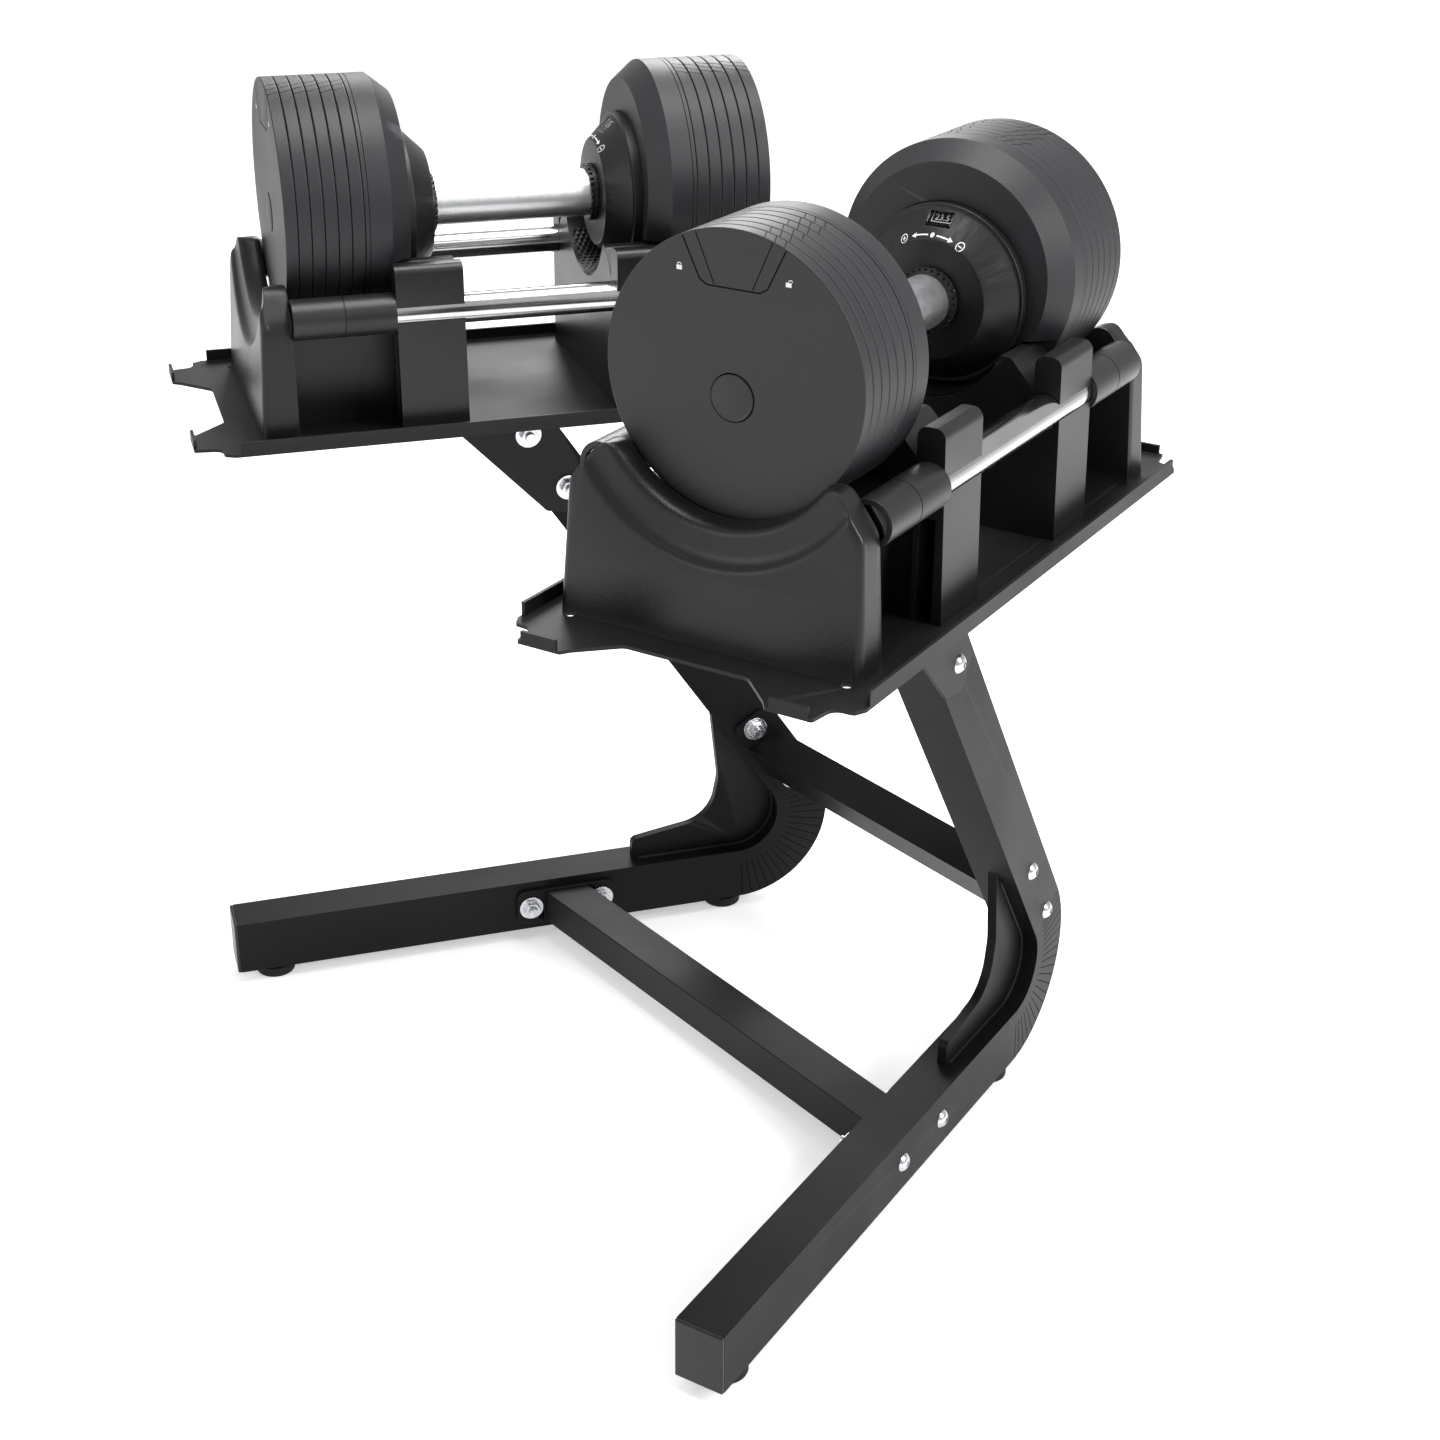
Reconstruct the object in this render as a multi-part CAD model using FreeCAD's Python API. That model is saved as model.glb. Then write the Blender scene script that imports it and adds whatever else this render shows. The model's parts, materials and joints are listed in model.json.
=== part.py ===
import math
import os

import FreeCAD, Part

Vec = FreeCAD.Vector

# Stand (mm)
half_angle = 20.5          # each leg turns outward from the middle by this angle
leg_spread = 203.4         # leg centre line to middle plane at the zero station
tube_width = 38.5
tube_depth = 48.5
tube_wall = 2.0
foot_height = 12.0
leg_front = 388.0          # front end of the floor run, from the zero station
heel_corner = -238.0       # where the outer lines of floor run and upright would meet
upright_lean = 34.0        # from vertical, towards the front
bend_radius = 86.0         # outer radius of the bend
foot_radius = 17.0
front_foot_inset = 32.0
rear_foot_station = -66.0
end_cap_thickness = 3.0
end_cap_depth = 14.0
foot_neck = 3.0

# Gusset in the bend, measured from the corner where the inner lines of the leg would meet
gusset_thickness = 8.0
gusset_rise = 145.5
gusset_run = 170.0
gusset_waist = 19.5        # concave edge ahead of the bend's centre
gusset_knee = -6.0         # concave edge's lower corner above the bend's centre
gusset_tail = 19.5         # height of the plate's front end
gusset_edge_bend = 34.0
gusset_root = 30.0         # how far the blank reaches into the tube before it is cut

# Crossbars and their bolts
bar_depth = 38.0
bar_height = 31.0
flange_length = 92.0
flange_width = 34.0
flange_thickness = 4.0
flange_corner = 8.0
bolt_spacing = 66.0
bolt_radius = 4.0
bolt_clearance = 0.3
head_radius = 7.5
head_height = 4.5
socket_radius = 2.4
socket_depth = 2.5
stud_end = 4.0
nut_radius = 7.5
nut_height = 6.0
washer_radius = 11.0
washer_thickness = 1.6
lower_bar_station = 91.3
upper_bar_height = 161.5

# Dumbbell
clear = 0.35
plate_radius = 89.0
axis_height = plate_radius + 62.0    # handle axis above the tray
plate_offset = 12.5        # plate centre above the handle axis
half_length = 189.0
plate_count = 6
plate_pitch = 10.0
plate_gap = 0.4
lip_thickness = 3.0
plate_skin = 2.0           # metal left between the shaft's bore and the badge recess
hub_inner = 68.0           # hub's nose from the middle
head_inner = hub_inner + 25.0
head_chamfer = 16.0
head_chamfer_rise = 13.0   # how far the chamfer comes in from the rim
head_relief = 26.0         # the head is cut away below this distance under the handle axis
seam_depth = 2.0
hub_radius = 62.0
hub_nose_radius = 41.5
hub_taper = 18.0
hub_step = 3.0
hub_seat = 12.0            # how far the hub goes into the head
hub_wall = 4.0             # along the axis
window_half = 9.0
window_low = 48.0          # window edges above the handle axis
window_high = 56.5
lens_thickness = 1.5
grip_radius = 18.4
grip_bore = grip_radius - 4.4
grip_half = 74.0
ring_radius = grip_radius + 4.1
ring_start = 62.0
ring_length = 5.4
ring_teeth = 28
tooth_gap = 2.2
tooth_depth = 2.0
nut_inset = 2.0
nut_length = 20.0
shaft_radius = 8.0
shaft_engaged = 33.08      # how far the shaft reaches in past the nut's outer end
shaft_travel = 60.0
steps_down = 8
steps_total = 13
shaft_chamfer = 2.0
cap_radius = 14.5
cap_thickness = 3.0
cap_proud = 0.6

# Cradle
rod_radius = 11.6
rod_side = plate_radius + 5.4
rod_height = axis_height - 60.0
collar_radius = rod_radius + 3.9
collar_gap = 0.3
saddle_rear = half_length + cap_proud + 0.8
saddle_front = saddle_rear + 28.6
saddle_half_width = rod_side + 13.6
saddle_shoulder = rod_height - 3.0
saddle_peak = rod_height + 23.0
saddle_peak_side = plate_radius - 6.0
saddle_draft = 3.5
saddle_taper = 5.0         # how far the sides lean in at the shoulders
seat_flare = 22.0
seat_land = 8.0
cradle_wall = 4.0
post_inner = hub_inner - 8.0
post_outer = post_inner + 52.0
post_top = rod_height + 37.0
post_side_inner = rod_side - 9.4
post_side_outer = rod_side + 12.6
seat_gap = 4.0
seat_drop = 28.0           # seat's upper corners below the handle axis
seat_corner = hub_radius + 5.0
seat_edge_rise = 10.0      # seat's outer edge above the rods
trough_half_width = plate_radius - 23.0
trough_inset = 2.0

# Tray
tray_height = 541.0        # top face of the tray above the floor
tray_setback = 23.466      # tray centre behind the upright's centre line at the tray's height
tray_half_width = saddle_half_width + 16.0
tray_inset = 27.0          # tray centre towards the middle plane from the leg centre line
tray_length = 2 * (saddle_front + 26.0)
prong_reach = 25.0
prong_outer = tray_half_width - 20.0
prong_inner = prong_outer - 32.0
prong_lip = 6.5
cutout_half = 44.0
sheet = 2.5
tray_flange = 9.0
tray_hole_station = saddle_front + 0.5
tray_hole_side = saddle_half_width - 9.0
tray_hole_radius = 3.5
ear_thickness = 3.0
ear_rear = -24.0           # ear corners, ahead of the upright's centre line
ear_front = 27.0
ear_corner = 6.0
bracket_base = 4.0
bracket_reach = 132.0      # plate's front end ahead of the lower tray bolt
bracket_rear_gap = 12.0
tray_bolt_low = tray_height - 100.0
tray_bolt_spacing = 60.0


def rounded_face(corners, place):
    """Flat face from (x, y, radius) corners; place turns x, y into a 3-D point."""
    count = len(corners)
    starts = []
    middles = []
    ends = []
    for i in range(count):
        before = Vec(*corners[i - 1][:2], 0)
        here = Vec(*corners[i][:2], 0)
        after = Vec(*corners[(i + 1) % count][:2], 0)
        back = (before - here).normalize()
        ahead = (after - here).normalize()
        half = back.getAngle(ahead) / 2
        radius = corners[i][2]
        cut = radius / math.tan(half)
        starts.append(here + back * cut)
        ends.append(here + ahead * cut)
        if radius > 0:
            inward = (back + ahead).normalize()
            middles.append(here + inward * (radius / math.sin(half) - radius))
        else:
            middles.append(None)
    edges = []
    for i in range(count):
        first = place(starts[i].x, starts[i].y)
        last = place(ends[i].x, ends[i].y)
        if middles[i] is not None:
            middle = place(middles[i].x, middles[i].y)
            edges.append(Part.Arc(first, middle, last).toShape())
        following = starts[(i + 1) % count]
        target = place(following.x, following.y)
        if (target - last).Length > 1e-6:
            edges.append(Part.makeLine(last, target))
    return Part.Face(Part.Wire(edges))


def side_view(x_at):
    return lambda station, z: Vec(x_at, -station, z)


def front_view(station):
    return lambda x, z: Vec(x, -station, z)


def plan_view(z):
    return lambda x, station: Vec(x, -station, z)


def box(x0, x1, station0, station1, z0, z1):
    return Part.makeBox(x1 - x0, station1 - station0, z1 - z0, Vec(x0, -station1, z0))


def rod_along(radius, station0, station1, x, z):
    return Part.makeCylinder(radius, station1 - station0, Vec(x, -station0, z), Vec(0, -1, 0))


def cross_pin(radius, x0, x1, station, z):
    return Part.makeCylinder(radius, x1 - x0, Vec(x0, -station, z), Vec(1, 0, 0))


def join(shapes):
    result = shapes[0]
    for shape in shapes[1:]:
        result = result.fuse(shape)
    return result.removeSplitter()


def lean_point(centre, along, ahead):
    """Point measured along the upright and ahead of it, in station and height."""
    lean = math.radians(upright_lean)
    station = centre[0] + along * math.sin(lean) + ahead * math.cos(lean)
    z = centre[1] + along * math.cos(lean) - ahead * math.sin(lean)
    return station, z


def upright_centre(z):
    """Station of the upright's centre line at height z."""
    lean = math.radians(upright_lean)
    rear = heel_corner + (z - foot_height) * math.tan(lean)
    return rear + tube_depth / 2 / math.cos(lean)


underside = tray_height - sheet
leg_top = underside - bracket_base - 1.0


def leg_corners(inset):
    lean = math.radians(upright_lean)
    low = foot_height + inset
    high = foot_height + tube_depth - inset
    slope = math.tan(lean)
    rear_low = heel_corner + inset / math.cos(lean) + (low - foot_height) * slope
    front_low = heel_corner + (tube_depth - inset) / math.cos(lean) + (high - foot_height) * slope
    rear_top = rear_low + (leg_top - low) * slope
    front_top = front_low + (leg_top - high) * slope
    return [
        (leg_front, low, 0),
        (rear_low, low, bend_radius - inset),
        (rear_top, leg_top, 0),
        (front_top, leg_top, 0),
        (front_low, high, bend_radius - tube_depth + inset),
        (leg_front, high, 0),
    ]


def leg_solid(inset):
    width = tube_width - 2 * inset
    face = rounded_face(leg_corners(inset), side_view(-width / 2))
    return face.extrude(Vec(width, 0, 0))


def bolt_stations():
    """Station and height of every bolt through a leg."""
    middle = foot_height + tube_depth / 2
    upper = (upright_centre(upper_bar_height), upper_bar_height)
    tray_low = (upright_centre(tray_bolt_low), tray_bolt_low)
    lower_pair = [(lower_bar_station + side * bolt_spacing / 2, middle) for side in (1, -1)]
    upper_pair = [lean_point(upper, side * bolt_spacing / 2, 0) for side in (1, -1)]
    tray_pair = [tray_low, lean_point(tray_low, tray_bolt_spacing, 0)]
    return lower_pair + upper_pair, tray_pair


def leg_tube():
    tube = leg_solid(0).cut(leg_solid(tube_wall))
    crossbar_spots, tray_spots = bolt_stations()
    for station, z in crossbar_spots + tray_spots:
        hole = cross_pin(bolt_radius + bolt_clearance, -tube_width, tube_width, station, z)
        tube = tube.cut(hole)
    return tube


def inner_corner():
    """Station and height where the inner lines of floor run and upright would meet."""
    lean = math.radians(upright_lean)
    station = heel_corner + tube_depth / math.cos(lean) + tube_depth * math.tan(lean)
    return station, foot_height + tube_depth


def bend_centre():
    half = math.radians(90 - upright_lean) / 2
    return heel_corner + bend_radius / math.tan(half), foot_height + bend_radius


def gusset():
    """Flat plate in the bend with a concave free edge, cut to the tube's outline."""
    station, z = inner_corner()
    tip = station + gusset_rise * math.tan(math.radians(upright_lean)) - 4
    bend_station, bend_z = bend_centre()
    waist = bend_station + gusset_waist
    middle = bend_radius - tube_depth / 2
    turn = math.radians(90 + upright_lean) / 2
    corners = [
        (tip - gusset_root, z + gusset_rise, 0),
        (tip, z + gusset_rise, 9),
        (waist - 4, z + gusset_rise / 2, gusset_edge_bend),
        (waist + 4, bend_z + gusset_knee, gusset_edge_bend),
        (station + gusset_run, z + gusset_tail, 6),
        (station + gusset_run, z - tube_depth / 4, 0),
        (bend_station, z - tube_depth / 2, 0),
        (bend_station - middle * math.sin(turn), bend_z - middle * math.cos(turn), 0),
        (upright_centre(z + gusset_rise / 2), z + gusset_rise / 2, 0),
    ]
    face = rounded_face(corners, side_view(-gusset_thickness / 2))
    plate = face.extrude(Vec(gusset_thickness, 0, 0))
    return plate.cut(leg_solid(0))


def end_cap():
    plug = box(-tube_width / 2 + tube_wall + clear, tube_width / 2 - tube_wall - clear,
               leg_front - end_cap_depth, leg_front, foot_height + tube_wall + clear,
               foot_height + tube_depth - tube_wall - clear)
    plate = box(-tube_width / 2, tube_width / 2, leg_front, leg_front + end_cap_thickness,
                foot_height, foot_height + tube_depth)
    front_edges = [edge for edge in plate.Edges if edge.BoundBox.YMax < -leg_front - 1]
    plate = plate.makeFillet(1.5, front_edges)
    return plug.fuse(plate)


def foot(station):
    centre = Vec(0, -station, 0)
    pad = Part.makeCylinder(foot_radius, foot_height - foot_neck, centre)
    low_edges = [edge for edge in pad.Edges if edge.BoundBox.ZMax < 0.1]
    pad = pad.makeFillet(2.0, low_edges)
    neck = Part.makeCylinder(foot_radius - 5, foot_neck, centre + Vec(0, 0, foot_height - foot_neck))
    return pad.fuse(neck)


def through_bolt(station, z, outer_face, inner_face):
    """Button-head bolt from the outer face to the inner one, with its shank end."""
    ball = head_radius * head_radius / (2 * head_height) + head_height / 2
    sphere = Part.makeSphere(ball, Vec(outer_face + head_height - ball, -station, z))
    head = sphere.common(cross_pin(head_radius, outer_face, outer_face + head_height, station, z))
    socket_floor = outer_face + head_height - socket_depth
    socket = cross_pin(socket_radius, socket_floor, outer_face + 2 * head_height, station, z)
    shank_end = inner_face - washer_thickness - nut_height - stud_end
    return head.fuse(cross_pin(bolt_radius, shank_end, outer_face, station, z)).cut(socket)


def nut_and_washer(station, z, inner_face):
    washer = cross_pin(washer_radius, inner_face - washer_thickness, inner_face, station, z)
    outer = inner_face - washer_thickness
    corners = [(nut_radius * math.cos(math.radians(60 * k)), nut_radius * math.sin(math.radians(60 * k)), 0)
               for k in range(6)]
    face = rounded_face(corners, lambda a, b: Vec(outer - nut_height, -station + a, z + b))
    nut = face.extrude(Vec(nut_height, 0, 0))
    bore = cross_pin(bolt_radius + 0.05, outer - nut_height - 1, inner_face + 1, station, z)
    return washer.fuse(nut).cut(bore)


def flange(centre, tilt):
    """Crossbar end plate on the inner face of a leg, its length along the bolt line."""
    inner = -tube_width / 2
    x0 = inner - flange_thickness
    plate = Part.makeBox(flange_thickness, flange_length, flange_width,
                         Vec(x0, -flange_length / 2, -flange_width / 2))
    edges = [edge for edge in plate.Edges if abs(edge.tangentAt(0).x) > 0.9]
    plate = plate.makeFillet(flange_corner, edges)
    for side in (1, -1):
        hole = Part.makeCylinder(bolt_radius + bolt_clearance, 30,
                                 Vec(x0 - 10, side * bolt_spacing / 2, 0), Vec(1, 0, 0))
        plate = plate.cut(hole)
    plate.rotate(Vec(0, 0, 0), Vec(1, 0, 0), tilt)
    plate.translate(Vec(0, -centre[0], centre[1]))
    return plate


def leg_place(shape):
    placed = shape.copy()
    placed.rotate(Vec(0, 0, 0), Vec(0, 0, 1), half_angle)
    placed.translate(Vec(leg_spread, 0, 0))
    return placed


def mirrored(shape):
    return shape.mirror(Vec(0, 0, 0), Vec(1, 0, 0))


def leg_point(station, side, z):
    turn = math.radians(half_angle)
    x = leg_spread + station * math.sin(turn) + side * math.cos(turn)
    y = -station * math.cos(turn) + side * math.sin(turn)
    return Vec(x, y, z)


def crossbar(centre, tilt):
    """Rectangular bar between the two inner faces, with a bolted plate on each end."""
    middle = leg_point(centre[0], -tube_width / 2 - flange_thickness, centre[1])
    reach = middle.x + 40
    bar = Part.makeBox(2 * reach, bar_depth, bar_height, Vec(-reach, -bar_depth / 2, -bar_height / 2))
    hollow = Part.makeBox(2 * reach, bar_depth - 2 * tube_wall, bar_height - 2 * tube_wall,
                          Vec(-reach, -bar_depth / 2 + tube_wall, -bar_height / 2 + tube_wall))
    bar = bar.cut(hollow)
    bar.rotate(Vec(0, 0, 0), Vec(1, 0, 0), tilt)
    bar.translate(Vec(0, middle.y, centre[1]))
    inner_face = -tube_width / 2 - flange_thickness
    room = leg_place(box(inner_face, inner_face + 300, -900, 900, -100, 900))
    bar = bar.cut(room).cut(mirrored(room))
    plate = leg_place(flange(centre, tilt))
    return join([bar, plate, mirrored(plate)])


def tray_sheet():
    half = tray_length / 2
    tip = half + prong_reach
    quarter = [
        (cutout_half, half - 4, 8),
        (prong_inner - 4, tip - 6, 4),
        (prong_inner, tip, 2),
        (prong_outer, tip, 2),
        (prong_outer + 3, half + 5, 7),
        (tray_half_width - 4, half + 4, 3),
        (tray_half_width, half - 4, 2),
    ]
    right_front = quarter
    right_rear = [(x, -station, radius) for x, station, radius in reversed(quarter)]
    left_rear = [(-x, -station, radius) for x, station, radius in quarter]
    left_front = [(-x, station, radius) for x, station, radius in reversed(quarter)]
    outline = right_front + right_rear + left_rear + left_front
    sheet_body = rounded_face(outline, plan_view(-sheet)).extrude(Vec(0, 0, sheet))
    parts = [sheet_body]
    for side in (1, -1):
        edge = side * tray_half_width
        x0 = min(edge, edge - side * sheet)
        parts.append(box(x0, x0 + sheet, -half + 8, half - 8, -sheet, tray_flange))
        for end in (1, -1):
            s0 = min(end * tip, end * (tip - sheet))
            x_low = min(side * (prong_inner + 3), side * (prong_outer - 3))
            lip_width = prong_outer - prong_inner - 6
            parts.append(box(x_low, x_low + lip_width, s0, s0 + sheet, -sheet, prong_lip))
    tray = join(parts)
    for side in (1, -1):
        for end in (1, -1):
            hole = Part.makeCylinder(tray_hole_radius, 20,
                                     Vec(side * tray_hole_side, -end * tray_hole_station, -10))
            tray = tray.cut(hole)
    return tray


def bracket():
    """Plate under the tray with an ear on each side of the upright."""
    crossbar_spots, tray_spots = bolt_stations()
    low = tray_spots[0]
    top = underside
    gap = tube_width / 2 + clear
    front = low[0] + bracket_reach
    rear = lean_point(low, tray_bolt_spacing + 36, ear_rear)[0] - bracket_rear_gap
    corners = []
    for along, ahead in ((-13, ear_rear + 8), (-23, 8), (-6, ear_front)):
        station, z = lean_point(low, along, ahead)
        corners.append((station, z, ear_corner))
    corners.append((front, top, 0))
    corners.append((rear, top, 0))
    corners.append((rear, top - 14, 4))
    parts = []
    for x0 in (gap, -gap - ear_thickness):
        ear = rounded_face(corners, side_view(x0)).extrude(Vec(ear_thickness, 0, 0))
        parts.append(ear)
    parts.append(box(-gap - 20, gap + 4, rear, front, top - bracket_base, top))
    body = join(parts)
    for station, z in tray_spots:
        body = body.cut(cross_pin(bolt_radius + bolt_clearance, -tube_width, tube_width, station, z))
    return body


def disc(radius, station0, station1, z):
    return rod_along(radius, min(station0, station1), max(station0, station1), 0, z)


def both_ends(shape):
    return shape.copy(), shape.mirror(Vec(0, 0, 0), Vec(0, 1, 0))


plate_centre = axis_height + plate_offset
plates_inner = half_length - plate_count * plate_pitch


def plate_stack():
    """Separate discs with a bore for the selector shaft; the last has a recess for its badge."""
    plates = []
    for k in range(plate_count):
        start = plates_inner + k * plate_pitch + plate_gap
        end = plates_inner + (k + 1) * plate_pitch
        plate = disc(plate_radius, start, end, plate_centre)
        bore = disc(shaft_radius + clear, start - 1, end + 1, axis_height)
        if k == plate_count - 1:
            bore_end = end - cap_thickness - plate_skin
            bore = disc(shaft_radius + clear, start - 1, bore_end, axis_height)
            recess = disc(cap_radius + clear, end - cap_thickness, end + 1, axis_height)
            plate = plate.cut(recess)
        plates.append(plate.cut(bore))
    return plates


def head():
    """Thick inner weight: cylinder, wide chamfer, lip seam, hub recess and cradle relief."""
    cylinder_end = head_inner + head_chamfer
    lip_start = plates_inner - lip_thickness
    body = disc(plate_radius, cylinder_end, lip_start - plate_gap, plate_centre)
    cone = Part.makeCone(plate_radius - head_chamfer_rise, plate_radius, head_chamfer,
                         Vec(0, -head_inner, plate_centre), Vec(0, -1, 0))
    lip = disc(plate_radius, lip_start, plates_inner, plate_centre)
    neck = disc(plate_radius - seam_depth, lip_start - 2 * plate_gap, lip_start + plate_gap, plate_centre)
    shape = join([body, cone, lip, neck])
    recess = disc(hub_radius + clear, head_inner - 1, head_inner + hub_seat + 1, axis_height)
    bore = disc(shaft_radius + clear, 0, half_length, axis_height)
    relief = box(-half_length, half_length, head_inner - 1, cylinder_end - 1, 0, axis_height - head_relief)
    keep = disc(hub_radius + hub_step, head_inner - 2, cylinder_end, axis_height)
    return shape.cut(recess).cut(bore).cut(relief.cut(keep))


def taper(shift, length):
    """Cone of the hub's slope, moved along the axis by shift."""
    slope = (hub_radius - hub_step - hub_nose_radius) / hub_taper
    return Part.makeCone(hub_nose_radius, hub_nose_radius + slope * length, length,
                         Vec(0, -hub_inner - shift, axis_height), Vec(0, -1, 0))


def hub(with_window):
    """Tapered nose that carries the handle; the rear one has the weight window."""
    skirt = disc(hub_radius, hub_inner + hub_taper, head_inner + hub_seat, axis_height)
    body = taper(0, hub_taper).fuse(skirt)
    body = body.cut(disc(grip_radius + clear, 0, grip_half + clear, axis_height))
    body = body.cut(disc(shaft_radius + clear, 0, half_length, axis_height))
    room = taper(hub_wall, hub_taper)
    room = room.cut(disc(grip_radius + hub_wall, 0, half_length, axis_height))
    body = body.cut(room)
    if with_window:
        opening = box(-window_half, window_half, 0, hub_inner + hub_taper,
                      axis_height + window_low, axis_height + window_high)
        body = body.cut(opening)
    return body


def window_lens():
    """Clear pane that follows the hub's slope just inside the window opening."""
    half = window_half - clear
    middle = (window_low + window_high) / 2
    slope = (hub_radius - hub_step - hub_nose_radius) / hub_taper
    along = (middle - hub_nose_radius) / slope
    tilt = math.atan(slope)
    run = (window_high - window_low) / 2 - 2 * clear
    shift = lens_thickness / math.cos(math.pi / 2 - tilt)
    corners = [
        (along - run / slope + clear, middle - run, 0),
        (along + run / slope + clear, middle + run, 0),
        (along + run / slope + clear + shift, middle + run, 0),
        (along - run / slope + clear + shift, middle - run, 0),
    ]
    place = lambda a, b: Vec(-half, -hub_inner - a, axis_height + b)
    return rounded_face(corners, place).extrude(Vec(2 * half, 0, 0))


def display_ring():
    """Number wheel behind the window, turning with the handle."""
    ring = taper(hub_wall + plate_skin, hub_taper - plate_skin - 2 * clear)
    return ring.cut(disc(grip_radius + hub_wall + clear, 0, half_length, axis_height))


def grip_tube():
    tube = disc(grip_radius, -grip_half, grip_half, axis_height)
    return tube.cut(disc(grip_bore, -grip_half - 1, grip_half + 1, axis_height))


def toothed_ring():
    """Collar at the handle's end with a ring of small notches."""
    ring = disc(ring_radius, ring_start, ring_start + ring_length, axis_height)
    ring = ring.cut(disc(grip_radius, ring_start - 1, ring_start + ring_length + 1, axis_height))
    for k in range(ring_teeth):
        notch = box(-tooth_gap / 2, tooth_gap / 2, ring_start - 1, ring_start + ring_length / 2,
                    axis_height + ring_radius - tooth_depth, axis_height + ring_radius + tooth_depth)
        notch.rotate(Vec(0, 0, axis_height), Vec(0, 1, 0), 360 * k / ring_teeth)
        ring = ring.cut(notch)
    return ring


def drive_nut():
    """Nut inside the handle that pushes the selector shaft out as the handle turns."""
    nut = disc(grip_bore, grip_half - nut_inset - nut_length, grip_half - nut_inset, axis_height)
    return nut.cut(disc(shaft_radius + clear, 0, half_length, axis_height))


def selector_shaft():
    tip_out = half_length - cap_thickness - 2 * plate_skin
    steps_up = steps_total - steps_down
    tip = tip_out - shaft_travel * steps_up / steps_total
    root = grip_half - nut_inset - shaft_engaged
    shaft = disc(shaft_radius, root, tip, axis_height)
    tip_edges = [edge for edge in shaft.Edges if edge.BoundBox.YMax < -tip + 0.1]
    return shaft.makeChamfer(shaft_chamfer, tip_edges)


def end_badge():
    """Small round cover in the outer face, on the handle axis."""
    cover = disc(cap_radius, half_length - cap_thickness + clear / 3, half_length + cap_proud, axis_height)
    outer_edges = [edge for edge in cover.Edges if edge.BoundBox.YMax < -half_length - cap_proud + 0.1]
    return cover.makeFillet(cap_proud - 0.1, outer_edges)


def saddle_block(inset):
    low = 0 if inset == 0 else -1
    half = saddle_half_width - inset
    top_half = half - saddle_taper
    corners = [
        (-half, low, 0),
        (-top_half, saddle_shoulder - inset, 9),
        (-saddle_peak_side, saddle_peak - inset, 6),
        (saddle_peak_side, saddle_peak - inset, 6),
        (top_half, saddle_shoulder - inset, 9),
        (half, low, 0),
    ]
    rear = saddle_rear if inset == 0 else saddle_rear - 1
    front = saddle_front - inset
    block = rounded_face(corners, front_view(rear)).extrude(Vec(0, -(front - rear), 0))
    seat = disc(plate_radius + seat_gap + inset, rear - 1, front + 1, plate_centre)
    seat_radius = plate_radius + seat_gap + inset
    flare = Part.makeCone(seat_radius, seat_radius + seat_flare, front - rear - seat_land,
                          Vec(0, -(rear + seat_land + 1), plate_centre), Vec(0, -1, 0))
    block = block.cut(seat).cut(flare)
    wedge = box(-300, 300, front, front + 80, -50, 300)
    wedge.rotate(Vec(0, -front, 0), Vec(1, 0, 0), -saddle_draft)
    return block.cut(wedge)


def saddle():
    return saddle_block(0).cut(saddle_block(cradle_wall))


def post_unit():
    """Inner half of a cradle end: seat under the hub, two tall posts and the plate trough."""
    seat_end = head_inner + head_chamfer - 2
    seat_top = axis_height - seat_drop
    edge_top = rod_height + seat_edge_rise
    hollow_top = plate_centre - plate_radius - 2 * cradle_wall
    seat_corners = [
        (-post_side_inner - 2, 0, 0),
        (-post_side_inner - 2, edge_top, 4),
        (-seat_corner, seat_top, 6),
        (seat_corner, seat_top, 6),
        (post_side_inner + 2, edge_top, 4),
        (post_side_inner + 2, 0, 0),
    ]
    seat = rounded_face(seat_corners, front_view(post_inner)).extrude(Vec(0, -(seat_end - post_inner), 0))
    seat = seat.cut(box(-post_side_inner + 6, post_side_inner - 6, post_inner + cradle_wall,
                        seat_end - cradle_wall, -1, hollow_top))
    seat = seat.cut(disc(hub_radius + seat_gap, post_inner - 1, seat_end + 1, axis_height))
    parts = [seat]
    for side in (1, -1):
        corners = [
            (side * post_side_inner, 0, 0),
            (side * post_side_inner, post_top, 7),
            (side * (post_side_outer - 3), post_top, 7),
            (side * post_side_outer, 0, 0),
        ]
        post = rounded_face(corners, front_view(post_inner)).extrude(Vec(0, -(post_outer - post_inner), 0))
        inner_x = sorted((side * (post_side_inner + cradle_wall),
                          side * (post_side_outer - cradle_wall - 3)))
        hollow = box(inner_x[0], inner_x[1], post_inner + cradle_wall, post_outer + 1, -1, rod_height - 22)
        parts.append(post.cut(hollow))
    trough_end = half_length - trough_inset
    trough = box(-trough_half_width, trough_half_width, seat_end - 3, trough_end, 0, saddle_shoulder)
    trough = trough.cut(box(-trough_half_width + cradle_wall, trough_half_width - cradle_wall,
                            seat_end, trough_end - cradle_wall, -1, hollow_top))
    trough = trough.cut(disc(plate_radius + clear, seat_end - 10, half_length + 10, plate_centre))
    parts.append(trough)
    body = join(parts)
    plates_start = head_inner + head_chamfer - 1 - clear
    body = body.cut(disc(plate_radius + clear, plates_start, half_length, plate_centre))
    for side in (1, -1):
        body = body.cut(rod_along(rod_radius + clear, 0, half_length, side * rod_side, rod_height))
    return body


def collar(side):
    start = post_outer + collar_gap
    length_end = saddle_rear - collar_gap
    middle = (start + length_end) / 2
    x = side * rod_side
    body = rod_along(collar_radius, start, length_end, x, rod_height)
    seam = rod_along(collar_radius + 1, middle - 0.4, middle + 0.4, x, rod_height)
    seam = seam.cut(rod_along(collar_radius - 0.7, middle - 1, middle + 1, x, rod_height))
    return body.cut(seam).cut(rod_along(rod_radius + clear, 0, 400, x, rod_height))


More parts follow.
